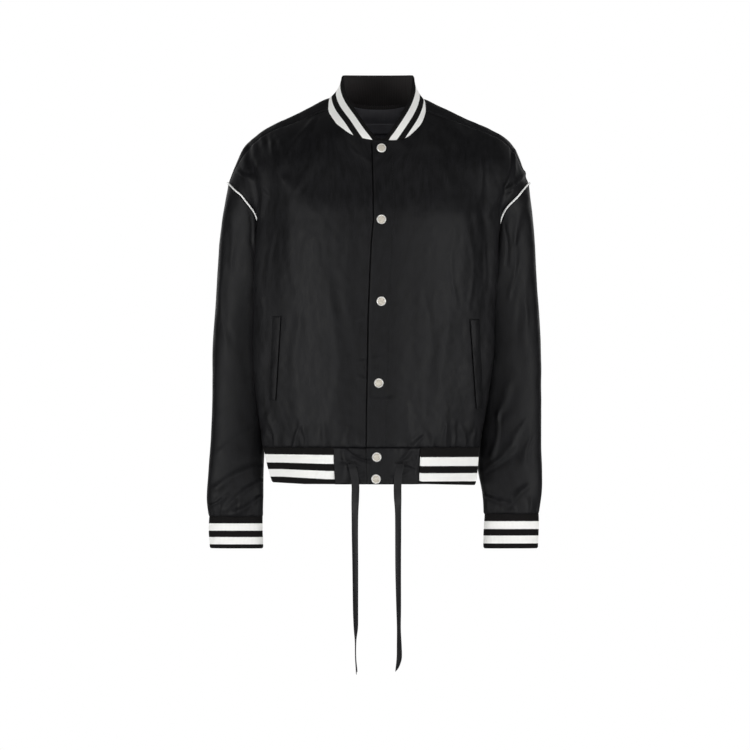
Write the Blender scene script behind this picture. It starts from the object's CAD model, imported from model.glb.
"""Looks of a satin varsity jacket in its worn form: satin panels, striped rib, piping, snaps and tapes.

Tables are in millimetres, in the garment's own frame: +X is the wearer's left, the front faces -Y, +Z is up.
"""

import math

import bpy
import numpy as np
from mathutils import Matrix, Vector
from mathutils.bvhtree import BVHTree


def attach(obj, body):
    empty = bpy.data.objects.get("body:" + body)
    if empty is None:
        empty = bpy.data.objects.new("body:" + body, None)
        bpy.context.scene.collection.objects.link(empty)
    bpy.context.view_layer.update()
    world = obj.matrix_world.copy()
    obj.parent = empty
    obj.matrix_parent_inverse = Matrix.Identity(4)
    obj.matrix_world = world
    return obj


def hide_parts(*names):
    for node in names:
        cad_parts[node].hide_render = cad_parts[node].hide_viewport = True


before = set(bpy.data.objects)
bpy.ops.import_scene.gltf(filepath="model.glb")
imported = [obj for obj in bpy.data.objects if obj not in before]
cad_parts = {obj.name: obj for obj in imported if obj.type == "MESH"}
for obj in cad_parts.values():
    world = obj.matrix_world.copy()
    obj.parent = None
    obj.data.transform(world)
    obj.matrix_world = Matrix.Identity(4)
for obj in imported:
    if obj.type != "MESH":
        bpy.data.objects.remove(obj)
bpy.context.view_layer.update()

bl_info = {
    "name": "Varsity Jacket",
    "version": (1, 0, 0),
    "blender": (4, 5, 0),
    "location": "3D View > Sidebar > Jacket",
    "description": "Builds the cloth, ribs, trims and stage of a satin varsity jacket",
    "category": "Add Mesh",
}

MM = 0.001

# Walls and gaps
SATIN_WALL = 1.5
RIB_THICK = 2.6
TRIM_WALL = 1.0
SEAM_GAP = 0.3
OVERLAP_RISE = 2.3          # how far the top front lies out from the under front
UNDER_FRONT_DROP = 3.0      # how far the hidden corner of the under front stays below the collar

# Neck, placket and hem
NECK_HALF = 88.0            # half the width of the neckline, at the shoulder seams
NECK_FRONT_Z = -65.0        # lowest point of the neckline
NECK_FRONT_RISE = 55.0      # from there up to the shoulder seam
NECK_SEAM_Y = -12.0         # where the shoulder seam meets the neckline
NECK_BACK_REACH = 94.0      # from there back to the middle of the back neckline
PLACKET_X = 10.0            # middle of the placket, from the middle of the body
PLACKET_HALF = 18.5
TAB_HALF = 79.0             # from the middle of the placket to each end of the satin part of the hem band
HEM_BAND_BOTTOM = -682.0
CUFF_END_Z = -798.5

# Mesh steps
NECK_STEPS = 28              # from the front or back middle to the shoulder seam
SHOULDER_STEPS = 72          # from there out to the armhole or side seam
ARMHOLE_STEPS = 64           # from the shoulder seam down to the underarm, front and back each
SIDE_STEPS = 100             # from the underarm down to the hem
SLEEVE_STEPS = 164           # from the armhole seam down to the cuff
COLLAR_COLUMNS = 1180        # along each band, fine enough for its ribs
CUFF_COLUMNS = 600
HEM_COLUMNS = 1850
COLUMN_WIDTH = 45            # of the first columns of the sections below, in which u is counted

# Each section is a row. Columns: centre, neck side, neck point, mid shoulder, shoulder, fold, seam (x, y, z).
FRONT_SECTIONS = (
    ((0, -60, -8), (45, -48, -8), (88, -12, -10), (150, -6, -30), (205, 5, -49), (246, 16, -86), (270, 26, -141)),
    ((0, -104, -75), (45, -98, -74), (90, -84, -76), (148, -64, -84), (200, -40, -100), (236, -17, -126),
     (250, -7, -163)),
    ((0, -121, -165), (48, -117, -165), (96, -105, -166), (145, -84, -170), (190, -55, -180), (219, -28, -196),
     (217, -8, -206)),
    ((0, -126, -280), (50, -122, -280), (100, -110, -281), (148, -89, -283), (191, -58, -286), (219, -28, -292),
     (194, 26, -318)),
    ((0, -126, -370), (50, -122, -370), (100, -110, -370), (148, -89, -370), (191, -58, -370), (217, -26, -372),
     (190, 30, -375)),
    ((0, -125, -455), (49, -121, -455), (97, -109, -455), (145, -89, -455), (189, -58, -455), (216, -26, -455),
     (185, 30, -455)),
    ((0, -122, -540), (48, -118, -540), (94, -106, -540), (140, -86, -540), (182, -56, -540), (207, -23, -540),
     (179, 32, -540)),
    ((0, -117, -616.5), (45, -113, -616.5), (89, -101, -616.5), (132, -81, -616.5), (171, -51, -616.5),
     (194, -19, -616.5), (171, 34, -616.5)),
)
BACK_SECTIONS = (
    ((0, -12, 2), (45, -12, -2), (88, -12, -10), (150, -6, -30), (205, 5, -49), (246, 16, -86), (270, 26, -141)),
    ((0, 40, 10), (45, 38, 10), (88, 30, 8), (148, 28, -18), (204, 32, -43), (247, 38, -83), (265, 48, -150)),
    ((0, 98, -38), (46, 96, -38), (92, 90, -43), (146, 83, -58), (196, 76, -84), (230, 70, -122), (244, 67, -182)),
    ((0, 122, -150), (50, 120, -150), (100, 114, -152), (146, 104, -158), (184, 92, -172), (208, 80, -196),
     (217, 64, -246)),
    ((0, 128, -280), (50, 126, -280), (100, 118, -281), (138, 105, -283), (166, 85, -288), (184, 60, -298),
     (194, 26, -318)),
    ((0, 128, -370), (50, 126, -370), (98, 117, -370), (134, 103, -370), (161, 83, -370), (179, 58, -372),
     (190, 30, -375)),
    ((0, 125, -455), (48, 123, -455), (94, 114, -455), (130, 100, -455), (156, 80, -455), (174, 56, -455),
     (185, 30, -455)),
    ((0, 119, -540), (47, 117, -540), (91, 108, -540), (126, 95, -540), (151, 77, -540), (168, 55, -540),
     (179, 32, -540)),
    ((0, 109, -616.5), (45, 107, -616.5), (87, 99, -616.5), (120, 88, -616.5), (144, 72, -616.5),
     (160, 53, -616.5), (171, 34, -616.5)),
)
FRONT_UNDERARM = 3          # rows of the sections above at the underarm
BACK_UNDERARM = 4
SEAM_COLUMN = 6

# How much lower each shoulder lies than the sections: x, drop
SHOULDER_FIT = (
    (-250, -236, -223, -203, -178, -155, -131, -94, -80, 80, 94, 110, 150, 173, 196, 218, 236),
    (0, 3, 5, 5.5, 4.5, 1.5, 0.5, -3.5, -3, -1, 0.5, 2.5, 1.5, 4.5, 5.5, 2.5, -1.5),
)

# How far the middle of the body sways to the wearer's left: height, shift
SWAY = ((60, 0), (-70, 0), (-150, 3), (-207, 4), (-250, 0), (-300, -2), (-370, -5), (-470, -7), (-550, -9),
        (-616, -10), (-682, -8))

# Sleeve rings. Columns: z outside, z inside, x outside, x inside, middle y, half depth.
SLEEVE_RINGS = {
    "left": (
        (-205, -340, 281, 198, 50, 46),
        (-280, -366, 286, 190, 60, 50),
        (-360, -402, 291, 187, 64, 50),
        (-440, -450, 295.5, 187, 61, 47),
        (-520, -520, 296, 188, 56, 43),
        (-590, -590, 296, 184, 50, 39),
        (-650, -650, 296, 181, 44, 36),
        (-700, -700, 294, 190, 40, 32),
        (-736, -736, 290.5, 193, 38, 28),
    ),
    "right": (
        (-205, -340, 279, 199, 50, 46),
        (-280, -366, 286, 194, 60, 50),
        (-360, -402, 291, 193, 64, 50),
        (-440, -450, 296.5, 195, 61, 47),
        (-520, -520, 297, 198, 56, 43),
        (-590, -590, 299, 201, 50, 39),
        (-650, -650, 303, 204, 44, 36),
        (-705, -705, 306, 205, 40, 32),
        (-741, -741, 301.5, 206, 38, 28),
    ),
}

COLLAR_BULGE = 3.0          # how far the collar rounds out between its seam and its edge
COLLAR_WALE = 2.3           # from one rib to the next

# Pocket welts: x and z of the top and bottom ends, inner and outer edge
WELTS = {
    "left": ((166, 183, -386), (177.5, 189.5, -546)),
    "right": ((-171.7, -186.7, -381), (-181, -192, -532)),
}
SNAPS = ((8, -79), (8, -207), (7.7, -353.7), (3.2, -500.4), (-0.4, -633.2), (-1.8, -672.6))
PIPING_RADIUS = 1.6
SLEEVE_TUCK = 0.02          # the sleeve's end is this much shallower than the armhole, under the piping
PIPING_ROOM = 4.5           # under the arm the piping lies between the body and the sleeve

# Drawstring tapes. Columns: x, z and turn in degrees about the tape's own length.
TAPE_WIDTH = 14.0
TAPES = {
    "right": ((-45.5, -646, 0), (-41, -664, 0), (-38.7, -684, 0), (-38.9, -706, 12), (-39.4, -735, 32),
              (-39.6, -790, 40), (-39.2, -850, 45), (-38.4, -905, 50), (-37.9, -938, 58), (-38.8, -962, 80),
              (-38.8, -992, 86), (-36.5, -1023, 84)),
    "left": ((41.5, -646, 0), (38.5, -664, 0), (36.9, -684, 0), (37, -704, -14), (37.8, -730, -38),
             (38.2, -780, -42), (38.4, -840, -46), (38.6, -900, -54), (38.9, -940, -62), (39.8, -970, -54),
             (40, -992, -50), (37.5, -1018, -56)),
}

HEM_SEAM_Z = -616.5
CUFF_SEAM_Z = -738.0
LABEL_X = 3.5
LABEL_HALF = 32.0
LABEL_TOP = -33.0
LABEL_BOTTOM = -51.0

# Creases, hand-placed. Columns: x and z of one end, x and z of the other, half width, rise.
FRONT_CREASES = (
    (-189, -72, -169, -135, 7, 3), (-121, -36, -166, -108, 9, 2), (-99, -54, -139, -149, 9, 1.6),
    (-74, -67, -83, -180, 11, 1.4), (-61, -56, -16, -99, 7, 1.8), (32, -81, 41, -171, 12, -1.2),
    (95, -54, 124, -135, 10, 1.6), (187, -99, 176, -198, 8, 1.8), (176, -198, 178, -283, 8, 1.4),
    (135, -234, 140, -351, 9, 1.1), (160, -225, 164, -360, 8, 1.2), (193, -261, 185, -351, 7, 1),
    (126, -405, 124, -603, 14, 2.4), (171, -477, 160, -612, 11, 2.6), (86, -351, 92, -495, 16, -1.2),
    (56, -549, 63, -612, 9, 1.5), (-184, -234, -194, -351, 9, 0.9), (-207, -351, -207, -459, 9, 1.6),
    (-139, -396, -133, -576, 15, 2.2), (-83, -351, -79, -567, 17, 1.8), (-45, -243, -45, -405, 11, 1.3),
    (-160, -171, -153, -333, 14, -0.5), (-27, -461, 2, -454, 4, 1.4), (-29, -491, 0, -499, 4, 1.2),
    (-20, -526, 27, -529, 4, 1.5), (-9, -225, -31, -241, 4, 1.0), (-11, -371, -36, -387, 4, 1.0),
    (27, -360, 52, -373, 4, 0.9), (29, -506, 49, -517, 4, 0.9), (-207, -610, -196, -563, 6, 3),
    (-184, -612, -189, -578, 5, 2.6), (-148, -616, -140, -580, 5, 3), (-128, -616, -131, -585, 5, 2.6),
    (-94, -616, -95, -585, 6, 2), (-54, -614, -49, -581, 5, 2.2), (65, -616, 81, -598, 5, 2.4),
    (99, -616, 97, -589, 6, 1.8), (122, -616, 124, -581, 5, 3), (137, -616, 139, -574, 5, 2.6),
    (157, -616, 153, -585, 5, 3), (171, -616, 175, -592, 5, 2.4), (-232, -74, -225, -113, 6, -3),
    (-225, -113, -218, -196, 6, -4), (243, -85, 234, -148, 6, -3), (234, -148, 227, -209, 6, -4.5),
    (266, -122, 236, -151, 5, 4), (-247, -121, -234, -130, 6, 3), (-218, -139, -196, -164, 5, 1.8),
    (221, -164, 200, -196, 5, 1.6), (-207, -63, -193, -99, 6, 1.5),
)
SLEEVE_FRONT_CREASES = (
    (-236, -166, -226, -243, 6, -3), (-226, -243, -223, -351, 6, -2.5), (-268, -180, -263, -283, 9, 2.4),
    (-279, -297, -272, -423, 10, 2), (-238, -369, -231, -495, 8, -1.2), (-288, -689, -207, -648, 6, 2.6),
    (-268, -725, -207, -675, 6, 3.2), (-256, -734, -214, -707, 5, 2.6), (-279, -621, -221, -581, 8, 1.2),
    (-293, -567, -247, -527, 9, 0.9), (-297, -720, -272, -704, 5, 2.4), (-247, -734, -245, -711, 4, 2.4),
    (-225, -736, -220, -716, 4, 2.2), (-284, -736, -281, -716, 4, 2.2), (272, -167, 248, -243, 8, 3.4),
    (248, -243, 239, -337, 8, 3), (230, -221, 234, -283, 6, -3.5), (279, -261, 270, -387, 10, 2),
    (257, -369, 263, -481, 10, -2), (234, -509, 218, -558, 7, 3.6), (218, -558, 207, -630, 7, 3.6),
    (263, -576, 241, -614, 7, 3.4), (241, -614, 203, -650, 7, 3.4), (275, -603, 265, -643, 6, 2.6),
    (194, -702, 230, -716, 5, 2.8), (239, -722, 268, -689, 5, 2.8), (221, -731, 223, -711, 4, 2.2),
    (248, -731, 247, -713, 4, 2.2), (275, -731, 277, -711, 4, 2.2),
)

BACK_CREASES = (
    (190, -180, 120, -300, 10, 3), (-190, -180, -120, -300, 10, 3), (60, -350, 55, -600, 14, 2),
    (-60, -350, -55, -600, 14, 2), (10, -200, 5, -420, 18, 1.5), (205, -290, 140, -380, 10, 3),
    (-205, -290, -140, -380, 10, 3), (-120, -420, -130, -600, 14, 2.2), (125, -430, 120, -600, 14, 2.2),
    (-90, -120, 90, -128, 16, 1.2), (30, -480, 25, -610, 9, 1.6), (-20, -500, -28, -610, 8, 1.4),
)
SLEEVE_BACK_CREASES = (
    (240, -200, 262, -300, 9, 3), (278, -330, 240, -400, 9, 3.2), (282, -390, 242, -455, 9, 3),
    (275, -470, 238, -520, 8, 2.6), (280, -600, 235, -650, 8, 3), (270, -660, 225, -700, 7, 3),
    (250, -520, 256, -600, 12, 2),
)
TAB_CREASES = (
    (-40, -632, -16, -640, 4, 1.5), (-38, -648, -62, -640, 4, 1.3), (-52, -622, -30, -634, 4, 1.2),
    (58, -622, 44, -638, 4, 1.6), (62, -650, 46, -644, 4, 1.4), (30, -668, 52, -664, 4, 1.0),
    (-24, -664, -44, -668, 4, 1.0), (74, -630, 70, -672, 5, 1.0), (-54, -672, -58, -630, 5, 1.0),
)

# The form of the body

def basis(fraction):
    """Weights of four points in a row, for a smooth curve between the middle two."""
    f = np.asarray(fraction, float)[..., None]
    return np.concatenate([
        -0.5 * f + f ** 2 - 0.5 * f ** 3,
        1 - 2.5 * f ** 2 + 1.5 * f ** 3,
        0.5 * f + 2 * f ** 2 - 1.5 * f ** 3,
        -0.5 * f ** 2 + 0.5 * f ** 3,
    ], axis=-1)


def curve(points, at):
    """Points on a smooth curve through the given ones. A whole number in `at` is the point of that number."""
    points = np.asarray(points, float)
    ends = 2 * points[0] - points[1], 2 * points[-1] - points[-2]
    padded = np.vstack([ends[0], points, ends[1]])
    at = np.asarray(at, float)
    first = np.clip(at.astype(int), 0, len(points) - 2)
    return np.einsum("...k,...kc->...c", basis(at - first), padded[first[..., None] + np.arange(4)])


def with_neighbours(sections, across, underarm):
    """The sections with a row and a column added on each side, so that seams join smoothly."""
    own, other = np.array(sections, float), np.array(across, float)
    rows, columns = own.shape[:2]
    net = np.zeros((rows + 2, columns + 2, 3))
    net[1:-1, 1:-1] = own
    net[1:-1, 0] = own[:, 1] * (-1, 1, 1)
    past_seam = 2 * own[:, -1] - own[:, -2]
    past_seam[underarm:] = other[len(other) - (rows - underarm):, -2]
    net[1:-1, -1] = past_seam
    net[0, 1:-1] = other[1]
    net[0, 0] = other[1, 1] * (-1, 1, 1)
    net[0, -1] = 2 * net[0, -2] - net[0, -3]
    net[-1] = 2 * net[-2] - net[-3]
    return net


FORMS = {
    "front": with_neighbours(FRONT_SECTIONS, BACK_SECTIONS, FRONT_UNDERARM),
    "back": with_neighbours(BACK_SECTIONS, FRONT_SECTIONS, BACK_UNDERARM),
}


def half_form(face, u, v):
    """Points of the wearer's left half, before it sways. u runs out from the middle and v down from the seam."""
    net = FORMS[face]
    u, v = np.broadcast_arrays(np.asarray(u, float), np.asarray(v, float))
    flip = np.where(u < 0, -1.0, 1.0)
    u = np.abs(u)
    column = np.clip(u.astype(int), 0, net.shape[1] - 4)
    row = np.clip(v.astype(int), 0, net.shape[0] - 4)
    steps = np.arange(4)
    patch = net[row[..., None, None] + steps[:, None], column[..., None, None] + steps]
    points = np.einsum("...r,...k,...rkc->...c", basis(v - row), basis(u - column), patch)
    points[..., 0] *= flip
    return points


def sway(z):
    """How far the middle of the body lies to the wearer's left at a height."""
    heights, shifts = zip(*SWAY[::-1])
    return np.interp(z, heights, shifts)


def body_point(face, side, u, v):
    points = half_form(face, u, v)
    points[..., 0] = side * points[..., 0] + sway(points[..., 2])
    high = np.clip((points[..., 2] + 125) / 65, 0, 1)
    for step in (-10, 0, 10):
        points[..., 2] -= high * np.interp(points[..., 0] + step, *SHOULDER_FIT) / 3
    points[..., 0] += 6 * np.exp(-((points[..., 2] + 88) / 35) ** 2) * np.clip((-points[..., 0] - 190) / 30, 0, 1)
    if face == "front":
        points[..., 2] -= 11 * np.exp(-((points[..., 0] - 56) / 36) ** 2 - ((points[..., 2] + 52) / 26) ** 2)
    return points


def body_normal(face, side, u, v):
    """Outward normals of the form."""
    step = 1e-3
    along_u = body_point(face, side, u + step, v) - body_point(face, side, u - step, v)
    along_v = body_point(face, side, u, v + step) - body_point(face, side, u, v - step)
    normal = np.cross(along_v, along_u) * side * (1 if face == "front" else -1)
    return normal / np.linalg.norm(normal, axis=-1, keepdims=True)


def neckline_row(face, u):
    """v of the neckline at u: the front dips in a V with a round bottom, and the back is a flat arc."""
    low, high = np.zeros_like(u), np.full_like(u, 1.95)
    for _ in range(40):
        middle = (low + high) / 2
        points = half_form(face, np.abs(u), middle)
        part = np.clip(points[..., 0] / NECK_HALF, 0, 1)
        if face == "front":
            above = points[..., 2] > NECK_FRONT_Z + NECK_FRONT_RISE * (0.76 * part ** 2.1 + 0.24 * part ** 30)
        else:
            above = points[..., 1] < NECK_SEAM_Y + NECK_BACK_REACH * np.sqrt(1 - part ** 2.8)
        low = np.where(above, middle, low)
        high = np.where(above, high, middle)
    return np.where(np.abs(u) >= 2, 0, (low + high) / 2)


NECK_U = 2 * np.sin(np.linspace(0, math.pi / 2, NECK_STEPS + 1))
OUT_U = np.linspace(2, SEAM_COLUMN, SHOULDER_STEPS + 1)[1:]


def panel_grid(face, u, hem=1.0):
    """u and v of a panel's mesh, a row for each step from the neckline and shoulder seam down to the hem."""
    underarm = FRONT_UNDERARM if face == "front" else BACK_UNDERARM
    hem_row = FORMS[face].shape[0] - 3
    upper = np.linspace(0, underarm, ARMHOLE_STEPS + 1)
    lower = np.linspace(underarm, hem_row, SIDE_STEPS + 1)[1:]
    v = np.concatenate([upper, lower])[:, None]
    top = neckline_row(face, u)[None, :]
    squeeze = np.clip(1 - v / hem_row, 0, 1)
    return np.broadcast_to(u, (len(v), len(u))), v + top * squeeze * hem


def setting(group, name):
    """A length from the sidebar, in millimetres."""
    return getattr(getattr(bpy.context.scene, group), name) / MM


# Creases: soft ridges (height above 0) and troughs, each along a line in the garment's own x and z

def crease_field(table, points):
    """Height of all the creases of a table at the given points, in millimetres."""
    x, z = points[..., 0], points[..., 2]
    height = np.zeros_like(x)
    for x0, z0, x1, z1, width, rise in table:
        line = np.array((x1 - x0, z1 - z0), float)
        length = np.hypot(*line)
        line /= length
        along = (x - x0) * line[0] + (z - z0) * line[1]
        part = along / length
        bow = 0.06 * length * np.sin(math.pi * np.clip(part, 0, 1)) * math.copysign(1, math.sin(x0 + 3 * z0))
        across = (z - z0) * line[0] - (x - x0) * line[1] - bow
        past = np.maximum(np.maximum(-along, along - length), 0)
        reach = width * (0.75 + 0.35 * np.sin(2.1 * part + x0))
        fade = np.exp(-(past / (1.6 * width)) ** 2)
        ridge = np.exp(-(across / reach) ** 2)
        hollow = 0.45 * np.exp(-((across - 1.9 * reach) / (1.3 * reach)) ** 2)
        height += rise * fade * (ridge - hollow)
    return height


def value_noise(points, size, seed):
    """Smooth noise between -1 and 1, with features about `size` millimetres across."""
    random = np.random.default_rng(seed)
    lattice = random.uniform(-1, 1, (64, 64, 64))
    at = points / size + 32
    low = np.floor(at).astype(int)
    part = at - low
    part = part * part * (3 - 2 * part)
    total = np.zeros(points.shape[:-1])
    for corner in np.ndindex(2, 2, 2):
        weight = np.prod(np.where(np.array(corner) == 1, part, 1 - part), axis=-1)
        index = (low + corner) % 64
        total += weight * lattice[index[..., 0], index[..., 1], index[..., 2]]
    return total


def gathers(around, down, seed, spacing, reach):
    """Small uneven pleats where cloth is drawn into a band. `down` is the distance from the band."""
    random = np.random.default_rng(seed)
    height = np.zeros_like(around)
    place = around.min()
    while place < around.max():
        width = spacing * random.uniform(0.22, 0.5)
        tall = reach * random.uniform(0.35, 1.3)
        lean = random.uniform(-0.22, 0.22)
        rise = random.uniform(0.5, 1.5)
        offset = (around - place - lean * down) / (width * (1 + down / tall))
        height += rise * np.exp(-offset ** 2) * np.exp(-(down / tall) ** 1.4)
        place += spacing * random.uniform(0.5, 1.5)
    return height - 0.5 * np.exp(-down / reach)


def chest_ridge(x, z):
    """The cloth stands out a little across the chest, from which it falls back to the shoulders and hangs below."""
    ridge = -202 + 0.012 * np.maximum(-x - 95, 0) ** 2 - 0.0042 * np.maximum(x - 110, 0) ** 2
    above = z - ridge
    side = np.clip((200 - np.abs(x)) / 50, 0, 1)
    return 9 * np.exp(-(above / np.where(above > 0, 62, 150)) ** 2) * side ** 2 * (3 - 2 * side)


def drape(points, normals):
    """How far the cloth stands out from the garment's form at each point."""
    facing = np.clip(-normals[..., 1] * 2.5 + 0.5, 0, 1)
    x, z = points[..., 0], points[..., 2]
    front = crease_field(FRONT_CREASES, points)
    back = crease_field(BACK_CREASES, points)
    height = 0.8 * facing * front + (1 - facing) * back
    stretched = points * (1, 1, 0.38)
    height += 0.8 * value_noise(stretched, 38, 3) + 0.45 * value_noise(stretched, 16, 5)
    height += 0.45 * value_noise(points * (1, 1, 0.7), 8, 9) * np.clip(0.4 - z / 700, 0, 1)
    band = np.maximum(z - HEM_SEAM_Z, 0)
    height += 1.9 * gathers(x + 900 * (1 - facing), band, 21, 15, 26)
    quiet = np.exp(-((x - 8) / 20) ** 2) * facing
    height *= 1 - 0.35 * quiet
    for snap_x, snap_z in SNAPS:
        height *= 1 - facing * np.exp(-(np.hypot(x - snap_x, z - snap_z) / 12) ** 4)
    return height


def sleeve_drape(points, normals, side):
    towards_back = 2.5 * normals[..., 1]
    z = points[..., 2]
    outward = side * normals[..., 0]
    strength = 0.45 + 0.35 * np.clip((-600 - z) / 60, 0, 1)
    height = strength * np.clip(-towards_back, 0, 1) * crease_field(SLEEVE_FRONT_CREASES, points)
    height += np.clip(towards_back, 0, 1) * crease_field(SLEEVE_BACK_CREASES, points * (side, 1, 1))
    stretched = points * (1, 1, 0.5)
    height += 0.7 * value_noise(stretched, 32, 13) + 0.35 * value_noise(stretched, 14, 15)
    band = np.maximum(z - CUFF_SEAM_Z, 0)
    turn = np.arctan2(normals[..., 1], outward) * 45
    height += 1.9 * gathers(turn, band, 33 + side, 13, 24)
    inner = np.clip(-outward, 0, 1) * np.clip((z + 480) / 120, 0, 1)
    fuller = np.clip(outward, 0, 1) * np.exp(-((z + 688) / 45) ** 2)
    return height * (1 - 0.75 * inner) + (3.5 if side > 0 else 0) * fuller


# Meshes

def tucked(points, depth=3.0, inward=1.6, ring=False):
    """The grid with two rows more above it, that run up behind the cloth it is sewn to."""
    normals = grid_normals(points, ring)[0]
    rise = points[0] - points[1]
    rise /= np.linalg.norm(rise, axis=-1, keepdims=True)
    rows = [points[0] + part * depth * rise - part ** 0.5 * inward * normals for part in (1, 0.4)]
    return np.concatenate([rows, points])


def add_mesh(name, points, faces, uv=None):
    """A smooth mesh from points in millimetres. uv holds one place for each point, in millimetres of cloth."""
    mesh = bpy.data.meshes.new(name)
    mesh.vertices.add(len(points))
    mesh.vertices.foreach_set("co", (np.asarray(points, float) * MM).ravel())
    faces = np.asarray(faces)
    mesh.loops.add(faces.size)
    mesh.loops.foreach_set("vertex_index", faces.ravel())
    mesh.polygons.add(len(faces))
    mesh.polygons.foreach_set("loop_start", np.arange(len(faces)) * faces.shape[1])
    mesh.update(calc_edges=True)
    mesh.validate()
    if uv is not None:
        layer = mesh.uv_layers.new(name="cloth")
        loops = np.empty(len(mesh.loops), int)
        mesh.loops.foreach_get("vertex_index", loops)
        layer.data.foreach_set("uv", np.asarray(uv, float)[loops].ravel())
    mesh.shade_smooth()
    made = bpy.data.objects.new(name, mesh)
    bpy.context.scene.collection.objects.link(made)
    return made


def wall_faces(rows, columns, ring):
    """Faces of a closed wall: outside, inside and rims. Rows run down, and columns run round to the right."""
    last = columns if ring else columns - 1
    inner = rows * columns
    row, column = np.meshgrid(np.arange(rows - 1), np.arange(last), indexing="ij")
    after = (column + 1) % columns
    a, b = (row * columns + column).ravel(), (row * columns + after).ravel()
    c, d = a + columns, b + columns
    faces = [np.stack([a, c, d, b], 1), np.stack([a, b, d, c], 1) + inner]
    a = np.arange(last)
    b = (a + 1) % columns
    faces.append(np.stack([a, b, inner + b, inner + a], 1))
    a, b = a + inner - columns, b + inner - columns
    faces.append(np.stack([b, a, inner + a, inner + b], 1))
    if not ring:
        a = np.arange(rows - 1) * columns
        faces.append(np.stack([a + columns, a, inner + a, inner + a + columns], 1))
        a = a + columns - 1
        faces.append(np.stack([a, a + columns, inner + a + columns, inner + a], 1))
    return np.concatenate(faces)


def grid_lengths(points):
    """Distance of each point along its row and along its column."""
    across = np.linalg.norm(np.diff(points, axis=1), axis=-1)
    down = np.linalg.norm(np.diff(points, axis=0), axis=-1)
    across = np.pad(np.cumsum(across, axis=1), ((0, 0), (1, 0)))
    down = np.pad(np.cumsum(down, axis=0), ((1, 0), (0, 0)))
    return across, down


def grid_normals(points, ring=False):
    """Outward normals of a grid whose rows run down and whose columns run round to the right."""
    if ring:
        along = np.roll(points, -1, axis=1) - np.roll(points, 1, axis=1)
    else:
        along = np.gradient(points, axis=1)
    normal = np.cross(np.gradient(points, axis=0), along)
    return normal / np.maximum(np.linalg.norm(normal, axis=-1, keepdims=True), 1e-9)


def seam_roll(points, ring=False, width=1.7, depth=0.9):
    """How far cloth turns in beside its seams."""
    across, down = grid_lengths(points)
    near = np.minimum(down, down[-1] - down)
    if not ring:
        near = np.minimum(near, np.minimum(across, across[:, -1:] - across))
    return -depth * np.exp(-(near / width) ** 2)


def fine_cloth(name, outer, wall, finish, ring=False, uv=None, normals=None):
    """A closed thin wall on an outer grid, with cloth coordinates for its weave."""
    rows, columns = outer.shape[:2]
    if normals is None:
        normals = grid_normals(outer, ring)
    if uv is None:
        across, down = grid_lengths(outer)
        middle = columns // 2
        uv = np.stack([across - across[:, middle:middle + 1], down], axis=-1)
    points = np.concatenate([outer.reshape(-1, 3), (outer - normals * wall).reshape(-1, 3)])
    uv = np.concatenate([uv.reshape(-1, 2)] * 2)
    made = add_mesh(name, points, wall_faces(rows, columns, ring), uv)
    made.data.materials.append(bpy.data.materials[finish])
    return made


def cut_of(outer, ring=False):
    """Flat width, length and area of a grid, in metres, as it was cut."""
    closed = np.concatenate([outer, outer[:, :1]], axis=1) if ring else outer
    across, down = grid_lengths(closed)
    sides = np.cross(closed[1:, :-1] - closed[:-1, :-1], closed[:-1, 1:] - closed[:-1, :-1])
    area = np.linalg.norm(sides, axis=-1).sum() * MM * MM
    width, length = across[:, -1].max() * MM, down[-1].max() * MM
    flat = round(float(width), 4), round(float(length), 4)
    return flat, round(min(float(area), 0.998 * flat[0] * flat[1]), 6)


def hang(piece, node, outer=None, ring=False):
    """Puts a piece in its node's place and, for cloth, declares its cut."""
    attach(piece, "root")
    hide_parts(node)
    if outer is not None:
        flat, area = cut_of(outer, ring)


def trimmed(points, amount=SEAM_GAP / 2):
    """The grid with its outer rows and columns drawn in, to leave half a seam's gap on each side."""
    points = points.copy()
    for edge, inside in ((0, 1), (-1, -2)):
        for grid in (points, points.swapaxes(0, 1)):
            inward = grid[inside] - grid[edge]
            grid[edge] += amount * inward / np.linalg.norm(inward, axis=-1, keepdims=True)
    return points


def surface_of(*pieces):
    """Finds points on the outside of pieces that are already built."""
    trees = []
    for piece in pieces:
        corners = [vertex.co / MM for vertex in piece.data.vertices]
        trees.append(BVHTree.FromPolygons(corners, [tuple(face.vertices) for face in piece.data.polygons]))

    def find(x, z, from_y=-400.0, towards=1.0):
        hits = [tree.ray_cast(Vector((x, from_y, z)), Vector((0, towards, 0))) for tree in trees]
        nearest = min((hit for hit in hits if hit[0] is not None), key=lambda hit: hit[3])
        return np.array(nearest[0]), np.array(nearest[1])

    return find

# Cloth panels

SIDES = {"left": 1, "right": -1}
PLACKET_EDGES = {
    "left": (PLACKET_X - PLACKET_HALF) / COLUMN_WIDTH,
    "right": -(PLACKET_X + PLACKET_HALF) / COLUMN_WIDTH,
}
UNDER_EDGE_U = -PLACKET_EDGES["left"]       # where that edge lies, in the right front's own columns


def placket_rise(name, u):
    """The top front lies out from the under front where they overlap."""
    if name == "right":
        return np.zeros_like(u)
    start, end = (PLACKET_X + PLACKET_HALF + 3) / COLUMN_WIDTH, 1.5
    fade = np.clip((u - start) / (end - start), 0, 1)
    return OVERLAP_RISE * (1 - fade ** 2 * (3 - 2 * fade))


def placket_gap(u):
    """The under front is pressed in along the line where the top front's edge lies on it."""
    return 2.4 * np.exp(-((u - UNDER_EDGE_U - 0.014) / 0.024) ** 4)


def panel(face, side, u):
    """Points and normals of a panel. Along the shoulder and side seams they are the mean of both faces'."""
    other = "back" if face == "front" else "front"
    found = []
    for find in (body_point, body_normal):
        own = find(face, side, *panel_grid(face, u))
        across = find(other, side, *panel_grid(other, u))
        shoulder, side_seam = np.s_[0, -SHOULDER_STEPS - 1:], np.s_[ARMHOLE_STEPS:, -1]
        for seam in (shoulder, side_seam):
            own[seam] = (own[seam] + across[seam]) / 2
        found.append(own)
    return found


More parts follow.
